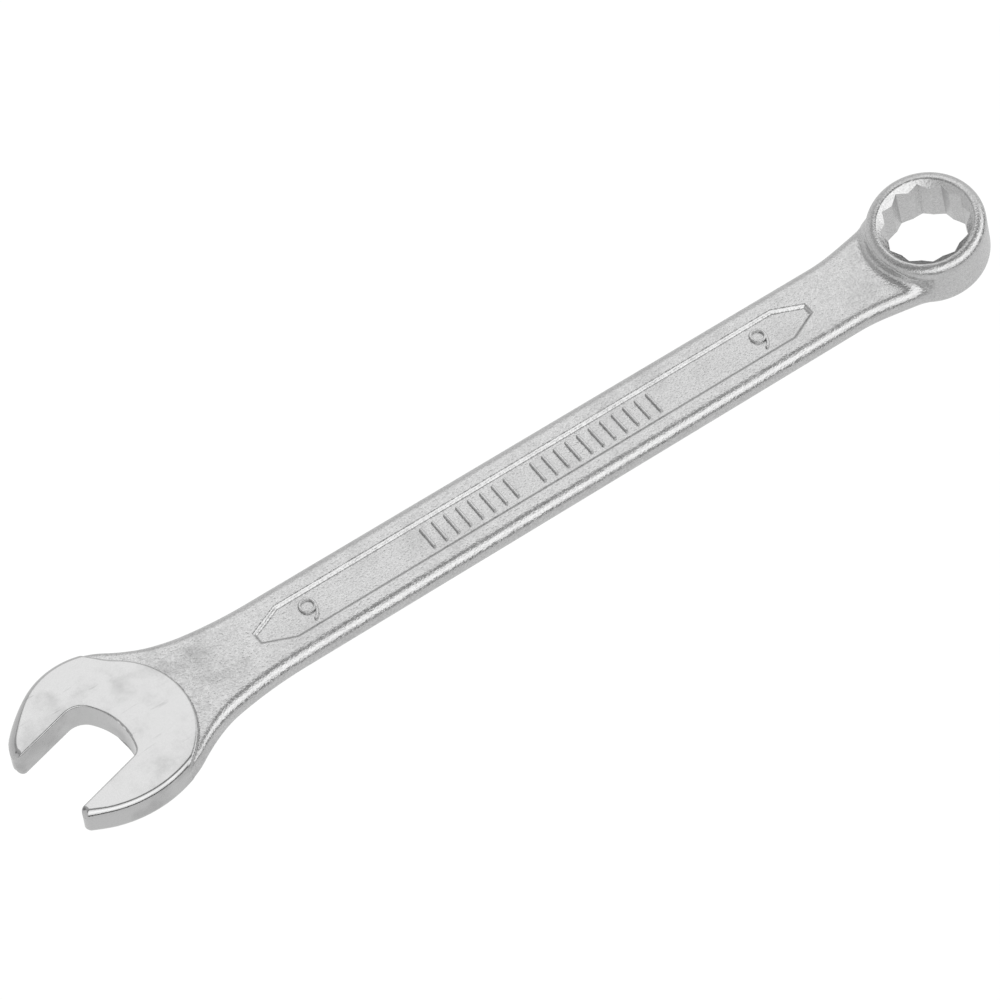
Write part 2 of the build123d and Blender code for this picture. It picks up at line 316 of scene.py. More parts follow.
def head_height(x, y, distance, lip_distance):
    """Height of the top: the larger of the neck and the face less its round, its step and its lips."""
    inside = inside_face(x, y)
    nose = 1 - smooth(x, NOSE_FULL, NOSE_START)
    reach = HEAD_ROUND_REACH + (NOSE_REACH - HEAD_ROUND_REACH) * nose
    depth = HEAD_ROUND + (NOSE_ROUND - HEAD_ROUND) * nose
    fall = quarter_drop(distance, reach * EDGE_STRETCH, 1.0) * (depth + EDGE_CUT)
    drop = np.maximum(np.maximum(fall - EDGE_CUT, 0), quarter_drop(inside, FACE_STEP, FACE_STEP_DEPTH))
    lip = sum(quarter_drop(lip_distance, lip_reach, lip_depth) for lip_reach, lip_depth in LIPS)
    face = HALF_HEAD - drop - lip
    neck = neck_height(x, distance)
    return np.where(inside > 0, np.maximum(face, neck), neck)


head_points, head_faces, offset = [], [], 0
jaws = ((-1, near_outline), (1, far_outline))
strips = [strip(side, outline) for side, outline in jaws]
wall_shares = np.linspace(0, 1, MOUTH_WALL_SAMPLES)
mouth_wall = np.concatenate([along(inner, wall_shares) for _, inner, _, _ in strips])
for (side, _), (outer, _, outer_rows, inner_rows) in zip(jaws, strips):
    print("jaw", side, "outline ends", outer[0].round(3))
    plan = across(outer_rows, inner_rows)
    x, y = plan[..., 0], plan[..., 1]
    height = head_height(x, y, distance_to(x, y, outer), distance_to(x, y, mouth_wall))
    rows, columns = x.shape
    points = np.concatenate([np.stack([x, y, z], -1).reshape(-1, 3) for z in (height, -height)])
    sheet = grid_faces(rows, columns)
    below = rows * columns
    index = np.arange(below).reshape(rows, columns)
    borders = [index[:, 0], index[:STRIP_MOUTH_ROWS, -1], index[-1, :]]
    walls = []
    for top in borders:
        added = len(points) + np.arange(len(top))
        lines = [top, added, added + len(top), top + below]
        inset = [points[top] - [0, 0, WALL_INSET], points[top + below] + [0, 0, WALL_INSET]]
        points = np.concatenate([points, *inset])
        walls += [np.stack([a[:-1], a[1:], b[1:], b[:-1]], -1) for a, b in zip(lines, lines[1:])]
    head_faces.append(np.concatenate([sheet, sheet[:, ::-1] + below, *walls]) + offset)
    head_points.append(points)
    offset += len(points)

head_mesh = np.concatenate(head_points), np.concatenate(head_faces)
open_head = make_piece("open_head_forging", *head_mesh, "open_end_head", "polished_chrome")

# %% [markdown]
# ## The shank's panel
# The shank is a flat bar with well rounded long edges and a shallow panel pressed into each side.
# A forging die can't leave a sharp step, so the panel's wall slopes, with a fillet at its top and
# at its foot. The panel's depth is worked out from the distance inside the panel's outline.

# %% Shank: panel
RING_X, RING_RADIUS, RING_TILT = 112.2, 6.95, math.radians(15)
RING_TOP, RING_BOTTOM, RIM_ROUND = 5.2, -2.2, 1.15
RING_NECK_X = 96.0
PANEL_START, PANEL_END = 19.0, 94.4
PANEL_HALF, PANEL_TIP_HALF, PANEL_TAPER = 2.53, 0.85, 3.9
PANEL_DEPTH, WALL_FILLET, WALL_SLOPE = 0.34, 0.36, math.radians(46)


def panel_half_width(x):
    """Half width of the panel's opening along the shank: full, with straight tapers to blunt tips."""
    from_tip = np.clip(np.minimum(x - PANEL_START, PANEL_END - x), 0, PANEL_TAPER)
    return PANEL_TIP_HALF + (PANEL_HALF - PANEL_TIP_HALF) * from_tip / PANEL_TAPER


def panel_recess(x, y):
    """Depth of the panel: a sloping wall with softened edges, from the distance inside its outline."""
    lean = math.hypot(1, (PANEL_HALF - PANEL_TIP_HALF) / PANEL_TAPER)
    from_tip = np.minimum(x - PANEL_START, PANEL_END - x)
    taper = (PANEL_TIP_HALF + (PANEL_HALF - PANEL_TIP_HALF) * from_tip / PANEL_TAPER - np.abs(y)) / lean
    inside = np.minimum(np.minimum(PANEL_HALF - np.abs(y), taper), from_tip)
    return wall_drop(np.maximum(inside, 0))


def wall_drop(inside):
    """Depth at a distance inside the panel's outline: a fillet, a straight slope and another fillet."""
    run, fall = WALL_FILLET * math.sin(WALL_SLOPE), WALL_FILLET * (1 - math.cos(WALL_SLOPE))
    straight = (PANEL_DEPTH - 2 * fall) / math.tan(WALL_SLOPE)
    top = WALL_FILLET - np.sqrt(WALL_FILLET**2 - np.minimum(inside, run) ** 2)
    slope = np.clip(inside - run, 0, straight) * math.tan(WALL_SLOPE)
    left = run - np.clip(inside - run - straight, 0, run)
    return top + slope + fall - (WALL_FILLET - np.sqrt(WALL_FILLET**2 - left**2))


# %% [markdown]
# ## The shank's plan
# The shank is one grid: rows along it and columns across it, crowded where the panel's wall and
# the rounded edges are. The last rows bend round the ring, and a few more go on inside the ring's
# wall, so that no gap can show between the two pieces.

# %% Shank: plan
NECK_END_X, RING_TOUCH = 111.4, 34.0
touch = math.radians(RING_TOUCH)
ring_flare = arc_chain((0, HALF_SHANK), 0, [(25.0, 9.0), (141.0, 1.8), (4.0, RING_TOUCH - 9.0 - 1.8)])
ring_flare[:, 0] += NECK_END_X - RING_RADIUS * math.sin(touch) - ring_flare[-1, 0]
ring_side = np.concatenate([[[RING_NECK_X, HALF_SHANK]], ring_flare])

TAPERS_END, TAPERS_START = 24.0, 89.5  # rows are crowded before the first and after the second
TAPER_ROWS, MIDDLE_ROWS, VALLEY_ROWS, HIDDEN_ROWS = 80, 90, 90, 6
straight_x = np.concatenate(
    [
        np.linspace(OPEN_CUT_X, TAPERS_END, TAPER_ROWS),
        np.linspace(TAPERS_END, TAPERS_START, MIDDLE_ROWS)[1:],
        np.linspace(TAPERS_START, RING_NECK_X, TAPER_ROWS)[1:],
    ]
)
HIDDEN_DEPTH = 1.25  # how far the shank runs on inside the ring's wall
FLOOR_COLUMNS, WALL_COLUMNS, SHOULDER_COLUMNS, ROUND_COLUMNS = 8, 24, 7, 15
WALL_BAND, BAND_LIMIT = 0.9, 0.85  # width of the columns on the panel's wall, and its greatest share
WALL_MARGIN = 0.1  # how far those columns go on outside the panel
EDGE_MARGIN = 0.05
BEND_POWER = 0.8  # below 1, which crowds the rows of the valley towards the ring


def half_width(x, outline):
    """Half width of the bar at x: the open head's flare runs a little way along it."""
    order = np.argsort(outline[:, 0])
    return np.interp(x, outline[order, 0], np.abs(outline[order, 1]), right=HALF_SHANK)


def shank_columns(x, side_width):
    """Distances from the middle line for one half: floor, panel wall, shoulder, rounded edge."""
    wall = panel_half_width(x)[:, None]
    run = np.minimum(WALL_BAND, BAND_LIMIT * wall)
    floor = (wall - run) * np.linspace(0, 1, FLOOR_COLUMNS)
    slope = wall - run + (run + WALL_MARGIN) * np.linspace(0, 1, WALL_COLUMNS + 1)[1:]
    side_width = side_width[:, None]
    edge_start = side_width - SHANK_ROUND_REACH - EDGE_MARGIN
    across_shoulder = np.linspace(0, 1, SHOULDER_COLUMNS + 1)[1:]
    shoulder = wall + WALL_MARGIN + (edge_start - wall - WALL_MARGIN) * across_shoulder
    quarter = np.linspace(0, math.pi / 2, ROUND_COLUMNS + 1)[1:]
    edge = side_width - (side_width - edge_start) * (1 - np.sin(quarter))
    return np.concatenate([floor, slope, shoulder, edge], axis=1)


near_width, far_width = half_width(straight_x, near_outline), half_width(straight_x, far_outline)
near_half, far_half = shank_columns(straight_x, near_width), shank_columns(straight_x, far_width)
straight_y = np.concatenate([-near_half[:, :0:-1], far_half], axis=1)
share_y = straight_y[-1] / HALF_SHANK
bend = np.linspace(0, 1, VALLEY_ROWS)[1:, None] ** BEND_POWER
side_path = along(ring_side, bend[:, 0])
end_angle = (math.pi / 2 - touch) * share_y
wall_x = NECK_END_X - RING_RADIUS * np.cos(end_angle)
wall_y = RING_RADIUS * np.sin(end_angle)
plain_x = RING_NECK_X + (wall_x - RING_NECK_X) * bend
plain_y = HALF_SHANK * share_y + (wall_y - HALF_SHANK * share_y) * bend
pull = np.abs(share_y) ** 2  # the sides follow the flare and the middle runs straight on
neck_x = plain_x + (side_path[:, :1] - plain_x[:, -1:]) * pull
neck_y = plain_y + (side_path[:, 1:] - plain_y[:, -1:]) * pull * np.sign(share_y)
sink = np.linspace(0, HIDDEN_DEPTH, HIDDEN_ROWS)[1:, None]
hidden_radius = RING_RADIUS - sink
hidden_x = NECK_END_X - hidden_radius * np.cos(end_angle)
hidden_y = hidden_radius * np.sin(end_angle)
shank_x = np.concatenate([np.broadcast_to(straight_x[:, None], straight_y.shape), neck_x, hidden_x])
shank_y = np.concatenate([straight_y, neck_y, hidden_y])
print("shank grid", shank_x.shape)

# %% [markdown]
# ## The shank's faces and the valley at the ring
# Where the bar meets the leaning drum of the ring, the metal rises in a soft valley, a smooth union
# of the two. There is no direct formula for its height, so each height is found by halving an
# interval. The valley is wide on top, where the drum stands high, and narrow underneath.

# %% Shank: heights and mesh


def ring_distance(x, y, z):
    """Signed distance to the leaning drum of the ring: a rounded box in (radius, height along the axis)."""
    along_x, along_z = x - RING_X, z
    drum_x = along_x * math.cos(RING_TILT) + along_z * math.sin(RING_TILT)
    drum_z = along_z * math.cos(RING_TILT) - along_x * math.sin(RING_TILT)
    middle, half_height = (RING_TOP + RING_BOTTOM) / 2, (RING_TOP - RING_BOTTOM) / 2
    out = np.hypot(drum_x, y) - (RING_RADIUS - RIM_ROUND)
    over = np.abs(drum_z - middle) - (half_height - RIM_ROUND)
    outside = np.hypot(np.maximum(out, 0), np.maximum(over, 0))
    return outside + np.minimum(np.maximum(out, over), 0) - RIM_ROUND


HALVINGS, ABOVE_RING = 30, 5.5
UNDER_RING, DEEPER = 0.012, 0.25  # how far the shank stays inside the ring, at the valley and above it


def with_valley(x, y, plain, blend, sign):
    """Height where the bar's face flows into the ring: the outermost z at which the smooth union of
    (z - plain) and the ring's distance is zero, found by halving the interval again and again."""
    low, high = plain.copy(), np.full_like(plain, ABOVE_RING)
    for _ in range(HALVINGS):
        z = (low + high) / 2
        bar = z - plain
        sunk = UNDER_RING + DEEPER * smooth(bar, 0.75 * blend, 1.4 * blend)
        drum = ring_distance(x, y, sign * z) + sunk
        h = np.clip(blend - np.abs(bar - drum), 0, None) / blend
        inside = np.minimum(bar, drum) - h * h * blend / 4 < 0
        low, high = np.where(inside, z, low), np.where(inside, high, z)
    return (low + high) / 2


RIM_TURN = -60  # degrees of the ring's rim that the outline takes in
OUTLINE_START_X, OUTLINE_SAMPLES = 10.0, 9000
NEAR_NECK = 3  # the part of the outline from this far before the neck is enough for distances
ring_rim = arc_chain(tuple(ring_side[-1]), math.degrees(touch), [(RING_RADIUS, RIM_TURN)])
half_outline = np.concatenate([[[OUTLINE_START_X, HALF_SHANK]], ring_side, ring_rim])
half_outline = along(half_outline, np.linspace(0, 1, OUTLINE_SAMPLES))
rim_part = half_outline[half_outline[:, 0] > RING_NECK_X - NEAR_NECK]
straight_edge = np.minimum(near_width[:, None] + straight_y, far_width[:, None] - straight_y)
neck_edge = distance_to(shank_x[len(straight_x):], np.abs(shank_y[len(straight_x):]), rim_part)
edge_distance = np.concatenate([straight_edge, neck_edge])
plain_top = HALF_THICK - quarter_drop(edge_distance, SHANK_ROUND_REACH, HALF_THICK - SHANK_WALL)
recess = panel_recess(shank_x, shank_y)
TOP_VALLEY, BOTTOM_VALLEY = 1.7, 0.6
shank_top = with_valley(shank_x, shank_y, plain_top - recess, TOP_VALLEY, 1)
shank_bottom = -with_valley(shank_x, shank_y, plain_top - recess, BOTTOM_VALLEY, -1)
shank = make_piece("shank_forging", *slab_mesh(shank_x, shank_y, shank_top, shank_bottom), "shank")

# %% [markdown]
# ## The ring
# The ring is forged as a short drum, leaned 15 degrees towards the shank, and a twelve-point
# socket is broached through it. One profile goes up the outer wall, over the rounded rim, down the
# lead-in cone and the socket wall and back under. It is carried round the leaning axis, and the
# socket's radius at each angle is the larger of two hexagons turned by 30 degrees.

# %% Ring
CROWN_RADIUS, CROWN_TURN = 0.45, math.radians(38)  # the rim rolls over into the lead-in cone
RING_STEPS = 384
RIM_POINTS, CROWN_POINTS, WALL_POINTS, CONE_POINTS = 14, 8, 10, 6
RING_SHARP_DEGREES = 24


def socket_radius(angle):
    """Radius of two hexagons laid over each other: half gap / cos(the larger angle off a flat)."""
    off = np.abs((angle + math.pi / 6) % (math.pi / 3) - math.pi / 6)
    return HALF_GAP / np.cos(np.maximum(off, math.pi / 6 - off))


phi = np.linspace(0, 2 * math.pi, RING_STEPS, endpoint=False)[:, None]
socket = socket_radius(phi)
rim_in = RING_RADIUS - RIM_ROUND
mouth_radius = rim_in - CROWN_RADIUS * math.sin(CROWN_TURN)
mouth_drop = CROWN_RADIUS * (1 - math.cos(CROWN_TURN))
cone_depth = math.tan(CROWN_TURN) * (mouth_radius - socket)
quarter = np.linspace(0, math.pi / 2, RIM_POINTS)[None]
crown = np.linspace(0, CROWN_TURN, CROWN_POINTS)[None, 1:]
level = np.linspace(0, 1, WALL_POINTS)[None]
cone = np.linspace(0, 1, CONE_POINTS)[None, 1:]
wall_height = RING_BOTTOM + RIM_ROUND + (RING_TOP - RING_BOTTOM - 2 * RIM_ROUND) * level + 0 * phi
half_radius = np.concatenate(
    [
        rim_in + RIM_ROUND * np.cos(quarter) + 0 * phi,
        rim_in - CROWN_RADIUS * np.sin(crown) + 0 * phi,
        mouth_radius + (socket - mouth_radius) * cone,
    ],
    axis=1,
)
half_drop = np.concatenate(
    [
        RIM_ROUND * (1 - np.sin(quarter)) + 0 * phi,
        CROWN_RADIUS * (1 - np.cos(crown)) + 0 * phi,
        mouth_drop + cone_depth * cone,
    ],
    axis=1,
)
deep = mouth_drop + cone_depth
inside_height = RING_TOP - deep + (RING_BOTTOM - RING_TOP + 2 * deep) * level[:, 1:-1]
radius = np.concatenate(
    [
        RING_RADIUS + 0 * wall_height,
        half_radius[:, 1:],
        socket + 0 * inside_height,
        half_radius[:, :0:-1],
    ],
    axis=1,
)
height = np.concatenate(
    [
        wall_height,
        RING_TOP - half_drop[:, 1:],
        inside_height,
        RING_BOTTOM + half_drop[:, :0:-1],
    ],
    axis=1,
)
ring_x, ring_y = radius * np.cos(phi), radius * np.sin(phi)
lean, upright = math.sin(RING_TILT), math.cos(RING_TILT)
ring_points = np.stack(
    [RING_X + ring_x * upright - height * lean, ring_y, ring_x * lean + height * upright], -1
).reshape(-1, 3)
ring_faces = grid_faces(*radius.shape, 0, True, True)
ring = make_piece(
    "ring_forging", ring_points, ring_faces, "ring_head", sharp_degrees=RING_SHARP_DEGREES
)

# %% [markdown]
# ## Raised marks
# The size and two rows of plain bars stand up from the floor of each panel, pressed by the forging
# die. Each mark is a stroke: a low rounded section carried along a path, narrowing to a round at
# both ends the way a worn die edge leaves it.

# %% Raised marks
MARK_HEIGHT, MARK_STROKE, MARK_RISE = 3.0, 0.40, 0.30
SINK = 0.06  # how far each mark goes down into the panel's floor
SECTION_POINTS = 13
panel_floor = HALF_THICK - PANEL_DEPTH
section = np.linspace(-1, 1, SECTION_POINTS)[None]


def stroke(path, closed=False):
    """A raised stroke square to its path: height = rise * sqrt(1 - q^4), with q in -1..1 across it."""
    ahead = np.gradient(path, axis=0)
    ahead = np.roll(path, -1, 0) - np.roll(path, 1, 0) if closed else ahead
    ahead = ahead / np.linalg.norm(ahead, axis=1)[:, None]
    side = np.stack([-ahead[:, 1], ahead[:, 0]], -1)
    step = np.concatenate([[0], np.cumsum(np.linalg.norm(np.diff(path, axis=0), axis=1))])
    from_end = np.minimum(step, step[-1] - step)
    taper = np.sqrt(1 - (1 - np.clip(from_end / (MARK_STROKE / 2), 0, 1)) ** 2)
    taper = np.ones(len(path)) if closed else taper
    across_path = MARK_STROKE / 2 * section * taper[:, None]
    x = path[:, :1] + side[:, :1] * across_path
    y = path[:, 1:] + side[:, 1:] * across_path
    rise = MARK_RISE * np.sqrt(1 - section**4) * taper[:, None] ** 0.5
    points = np.stack([x, y, panel_floor + rise], -1)
    base = np.stack([x[:, ::-1], y[:, ::-1], np.full_like(x, panel_floor - SINK)], -1)
    loop = np.concatenate([points, base], axis=1)
    return loop.reshape(-1, 3), grid_faces(*loop.shape[:2], 0, closed, True)


LOOP_RADIUS = 0.84
LOOP_POINTS, TAIL_POINTS, BAR_POINTS = 40, 32, 40
TAIL_OVERLAP = 0.1  # the tail starts this far up the loop's side
TAIL_ARCS = [(2.6, -40), (0.7, -50)]


def nine(centre_x):
    """The figure 9 of the size, as a closed loop and a tail, reading across the shank."""
    turn = np.linspace(0, 2 * math.pi, LOOP_POINTS, endpoint=False)
    loop_y = MARK_HEIGHT / 2 - LOOP_RADIUS - MARK_STROKE / 2
    loop = np.stack([LOOP_RADIUS * np.cos(turn), loop_y + LOOP_RADIUS * np.sin(turn)], -1)
    tail = arc_chain((LOOP_RADIUS, loop_y + TAIL_OVERLAP), -90, TAIL_ARCS)
    tail = along(tail, np.linspace(0, 1, TAIL_POINTS))
    return [(loop + [centre_x, 0], True), (tail + [centre_x, 0], False)]


BAR_COUNTS, BAR_PITCH, BAR_GAP = (8, 11), 1.6, 3.6
FIGURE_PLACES = (25.9, 87.2)
strokes = []
for figure_x in FIGURE_PLACES:
    strokes += nine(figure_x)
row_length = (sum(BAR_COUNTS) - len(BAR_COUNTS)) * BAR_PITCH + BAR_GAP
bar_x = (PANEL_START + PANEL_END) / 2 - row_length / 2
for count in BAR_COUNTS:
    for _ in range(count):
        bar_y = np.linspace(-MARK_HEIGHT / 2, MARK_HEIGHT / 2, BAR_POINTS)
        strokes.append((np.stack([np.full(BAR_POINTS, bar_x), bar_y], -1), False))
        bar_x += BAR_PITCH
    bar_x += BAR_GAP - BAR_PITCH

mark_points, mark_faces, offset = [], [], 0
for flip in (1, -1):
    for path, closed in strokes:
        points, faces = stroke(path, closed)
        mark_points.append(points * [1, flip, flip])
        mark_faces.append(faces + offset)
        offset += len(points)
marks = make_piece("raised_marks", np.concatenate(mark_points), np.concatenate(mark_faces))

# %% [markdown]
# ## Finishes
# The whole wrench is plated with chrome over a tumbled surface, which leaves a fine sparkling
# grain. Only the faces of the open end are ground and buffed before plating. Both finishes are
# built from the same three effects, each a node group: grain, smudges and scratches.

# %% Node groups


def new_group(name, inputs, outputs):
    """An empty shader node group with float inputs (name, default) and float outputs."""
    group = bpy.data.node_groups.new(name, "ShaderNodeTree")
    group.interface.new_socket("Vector", in_out="INPUT", socket_type="NodeSocketVector")
    for label, default in inputs:
        socket = group.interface.new_socket(label, in_out="INPUT", socket_type="NodeSocketFloat")
        socket.default_value = default
    for label in outputs:
        group.interface.new_socket(label, in_out="OUTPUT", socket_type="NodeSocketFloat")
    return group, group.nodes.new("NodeGroupInput"), group.nodes.new("NodeGroupOutput")


def add(tree, kind, **settings):
    """A node of the given kind with its properties set."""
    node = tree.nodes.new(kind)
    for key, value in settings.items():
        setattr(node, key, value)
    return node


def math_node(tree, operation, a, b=None, clamp=False):
    """A Math node fed by sockets or plain numbers; returns its output socket."""
    node = add(tree, "ShaderNodeMath", operation=operation, use_clamp=clamp)
    for socket, value in zip(node.inputs, (a, b)):
        if isinstance(value, bpy.types.NodeSocket):
            tree.links.new(value, socket)
        elif value is not None:
            socket.default_value = value
    return node.outputs[0]


def noise(tree, vector, scale, detail=2.0, roughness=0.5):
    """A noise texture's factor at scale cells per metre; the scale is a socket or a number."""
    node = add(tree, "ShaderNodeTexNoise")
    tree.links.new(vector, node.inputs["Vector"])
    if isinstance(scale, bpy.types.NodeSocket):
        tree.links.new(scale, node.inputs["Scale"])
    else:
        node.inputs["Scale"].default_value = scale
    node.inputs["Detail"].default_value = detail
    node.inputs["Roughness"].default_value = roughness
    return node.outputs[0]


grain_group, grain_in, grain_out = new_group(
    "chrome_grain", [("Fine scale", 4800), ("Coarse scale", 1500)], ["Height", "Sparkle"]
)
fine = noise(grain_group, grain_in.outputs["Vector"], grain_in.outputs["Fine scale"], 1.0)
coarse = noise(grain_group, grain_in.outputs["Vector"], grain_in.outputs["Coarse scale"], 2.0, 0.6)
both = math_node(grain_group, "ADD", fine, coarse)
grain_group.links.new(math_node(grain_group, "MULTIPLY", both, 0.5), grain_out.inputs["Height"])
sparkle = math_node(grain_group, "MULTIPLY", math_node(grain_group, "SUBTRACT", fine, 0.5), 2.0)
grain_group.links.new(sparkle, grain_out.inputs["Sparkle"])

smudge_group, smudge_in, smudge_out = new_group("smudges", [("Scale", 180)], ["Mask"])
blotch = noise(smudge_group, smudge_in.outputs["Vector"], smudge_in.outputs["Scale"], 4.0, 0.62)
ramp = add(smudge_group, "ShaderNodeMapRange", interpolation_type="SMOOTHSTEP")
SMUDGE_LOW, SMUDGE_HIGH = 0.45, 0.75
ramp.inputs["From Min"].default_value = SMUDGE_LOW
ramp.inputs["From Max"].default_value = SMUDGE_HIGH
smudge_group.links.new(blotch, ramp.inputs["Value"])
smudge_group.links.new(ramp.outputs[0], smudge_out.inputs["Mask"])

scratch_group, scratch_in, scratch_out = new_group("scratches", [("Amount", 0.04)], ["Mask"])
stretch = add(scratch_group, "ShaderNodeMapping")
SCRATCH_TURN = (0.3, 0.2, 0.9)  # radians
SCRATCH_CELLS = (250, 2600, 900)  # cells per metre: the scratches are long in the first direction
SCRATCH_LEVEL, SCRATCH_CONTRAST = 0.66, 9.0
stretch.inputs["Rotation"].default_value = SCRATCH_TURN
stretch.inputs["Scale"].default_value = SCRATCH_CELLS
scratch_group.links.new(scratch_in.outputs["Vector"], stretch.inputs["Vector"])
lines = noise(scratch_group, stretch.outputs[0], 1.0, 2.0, 0.7)
edge = math_node(scratch_group, "SUBTRACT", lines, SCRATCH_LEVEL)
mask = math_node(scratch_group, "MULTIPLY", edge, SCRATCH_CONTRAST, clamp=True)
mask = math_node(scratch_group, "MULTIPLY", mask, scratch_in.outputs["Amount"])
scratch_group.links.new(mask, scratch_out.inputs["Mask"])
print("effects:", [group.name for group in (grain_group, smudge_group, scratch_group)])


def place(tree, group, **values):
    """A node group placed in a material, reading Object coordinates, with its inputs set."""
    node = add(tree, "ShaderNodeGroup", node_tree=group)
    where = add(tree, "ShaderNodeTexCoord")
    tree.links.new(where.outputs["Object"], node.inputs["Vector"])
    for label, value in values.items():
        node.inputs[label.replace("_", " ")].default_value = value
    return node


# %% [markdown]
# ## The two finishes
# Satin chrome takes the grain's bump and sparkle and a few smudges. The open head carries both
# finishes on one piece, as the real one does, where buffing takes the grain off its faces. The
# share of buffing is stored at each point of the head, worked out from the face's edge, and the
# material fades the grain out with it, lowers the roughness and lets hair scratches in.

# %% Satin chrome and polished chrome
CHROME_GREY, CHROME_ROUGHNESS = 0.57, 0.27
SPARKLE_SHARE, SMUDGE_ROUGHNESS = 0.17, 0.06
GRAIN_SCALES = {"Fine_scale": 4800, "Coarse_scale": 1500}
SMUDGE_SCALE = 180
GRAIN_RELIEF = 0.00007  # metres


def grey_from(tree, value):
    """A colour with the same value in each channel."""
    node = add(tree, "ShaderNodeCombineColor")
    for socket in node.inputs[:3]:
        tree.links.new(value, socket)
    return node.outputs[0]


def chrome(name, smudge_share, buffing=None):
    """Plated steel: grey = chrome grey + sparkle - smudges, and roughness rises with the smudges.
    buffing says what full buffing adds to grey and roughness, takes off the grain, and scratches."""
    material = bpy.data.materials.new(name)
    material.use_nodes = True
    tree = material.node_tree
    shader = tree.nodes["Principled BSDF"]
    shader.inputs["Metallic"].default_value = 1.0
    grain = place(tree, grain_group, **GRAIN_SCALES)
    smudge = place(tree, smudge_group, Scale=SMUDGE_SCALE)
    bright = math_node(tree, "MULTIPLY", grain.outputs["Sparkle"], SPARKLE_SHARE)
    dull = math_node(tree, "MULTIPLY", smudge.outputs["Mask"], smudge_share)
    height = grain.outputs["Height"]
    rough = math_node(tree, "MULTIPLY", smudge.outputs["Mask"], SMUDGE_ROUGHNESS)
    rough = math_node(tree, "ADD", rough, CHROME_ROUGHNESS)
    if buffing:
        share = add(tree, "ShaderNodeAttribute", attribute_name="buffed").outputs["Fac"]
        left = math_node(tree, "SUBTRACT", 1.0, math_node(tree, "MULTIPLY", share, buffing["grain_off"]))
        bright = math_node(tree, "MULTIPLY", bright, left)
        height = math_node(tree, "MULTIPLY", height, left)
        scratch = place(tree, scratch_group, Amount=buffing["scratches"])
        scratched = math_node(tree, "MULTIPLY", scratch.outputs["Mask"], share)
        bright = math_node(tree, "ADD", bright, math_node(tree, "MULTIPLY", share, buffing["grey_up"]))
        bright = math_node(tree, "SUBTRACT", bright, scratched)
        rough = math_node(tree, "ADD", rough, math_node(tree, "MULTIPLY", share, buffing["rough_up"]))
        rough = math_node(tree, "ADD", rough, scratched)
    grey = math_node(tree, "SUBTRACT", math_node(tree, "ADD", bright, CHROME_GREY), dull)
    tree.links.new(grey_from(tree, grey), shader.inputs["Base Color"])
    tree.links.new(rough, shader.inputs["Roughness"])
    bump = add(tree, "ShaderNodeBump")
    bump.inputs["Distance"].default_value = GRAIN_RELIEF
    tree.links.new(height, bump.inputs["Height"])
    tree.links.new(bump.outputs[0], shader.inputs["Normal"])
    return material


satin = chrome("satin_chrome", smudge_share=0.03)
for piece in (shank, ring, marks):
    piece.data.materials.append(satin)
buffing = {"grey_up": -0.01, "rough_up": -0.11, "grain_off": 0.85, "scratches": 0.08}
open_head.data.materials.append(chrome("polished_chrome", smudge_share=0.12, buffing=buffing))

BUFFED_FROM, BUFFED_FULL = 0.05, 0.3  # mm inside the face's edge
corners = np.empty(len(open_head.data.vertices) * 3)
open_head.data.vertices.foreach_get("co", corners)
corners = corners.reshape(-1, 3) / MM - origin
buffed = smooth(inside_face(corners[:, 0], corners[:, 1]), BUFFED_FROM, BUFFED_FULL)
buffed_share = open_head.data.attributes.new("buffed", "FLOAT", "POINT")
buffed_share.data.foreach_set("value", buffed.astype(np.float32))
print("share of the head's points that is buffed", round(float(buffed.mean()), 2))

# %% [markdown]
# ## The table
# The wrench lies on a plain white table that glows by itself, so its own shadow hardly shows. The
# table glows a little less in the mirror than to the eye, which keeps the upright walls grey.

# %% Table
floor_mesh = bpy.data.meshes.new("floor")
HALF_TABLE, TABLE_DROP = 3.0, 0.0002  # metres
TABLE_GREY, MIRRORED_GLOW = 0.03, 0.8
table_corners = [(a * HALF_TABLE, b * HALF_TABLE, 0) for a, b in ((-1, -1), (1, -1), (1, 1), (-1, 1))]
floor_mesh.from_pydata(table_corners, [], [(0, 1, 2, 3)])
floor = bpy.data.objects.new("floor", floor_mesh)
floor.location.z = -TABLE_DROP
bpy.context.scene.collection.objects.link(floor)
paper = bpy.data.materials.new("white_table")
paper.use_nodes = True
paper_shader = paper.node_tree.nodes["Principled BSDF"]
paper_shader.inputs["Base Color"].default_value = (TABLE_GREY, TABLE_GREY, TABLE_GREY, 1)
paper_shader.inputs["Roughness"].default_value = 1.0
paper_shader.inputs["Specular IOR Level"].default_value = 0.0
paper_shader.inputs["Emission Color"].default_value = (1, 1, 1, 1)
seen_directly = add(paper.node_tree, "ShaderNodeLightPath").outputs["Is Camera Ray"]
glow = math_node(paper.node_tree, "MULTIPLY", seen_directly, 1 - MIRRORED_GLOW)
glow = math_node(paper.node_tree, "ADD", glow, MIRRORED_GLOW)
paper.node_tree.links.new(glow, paper_shader.inputs["Emission Strength"])
floor_mesh.materials.append(paper)
print("table", 2 * HALF_TABLE, "m wide")

# %% [markdown]
# ## The light
# The light is a white tent all round. Chrome shows only what it mirrors, so the tent's pattern
# draws the picture: bright from above for the flats, a brighter band low at the front for the near
# edges, a dark strip overhead and a dark gap at the front horizon for the lines beside them. Each
# part of the pattern depends on how far a direction points up, ahead or to the side.

# %% Tent
world = bpy.data.worlds.new("studio_tent")
bpy.context.scene.world = world
world.use_nodes = True
tent = world.node_tree
tent_background = tent.nodes["Background"]
tent_direction = add(tent, "ShaderNodeTexCoord").outputs["Generated"]


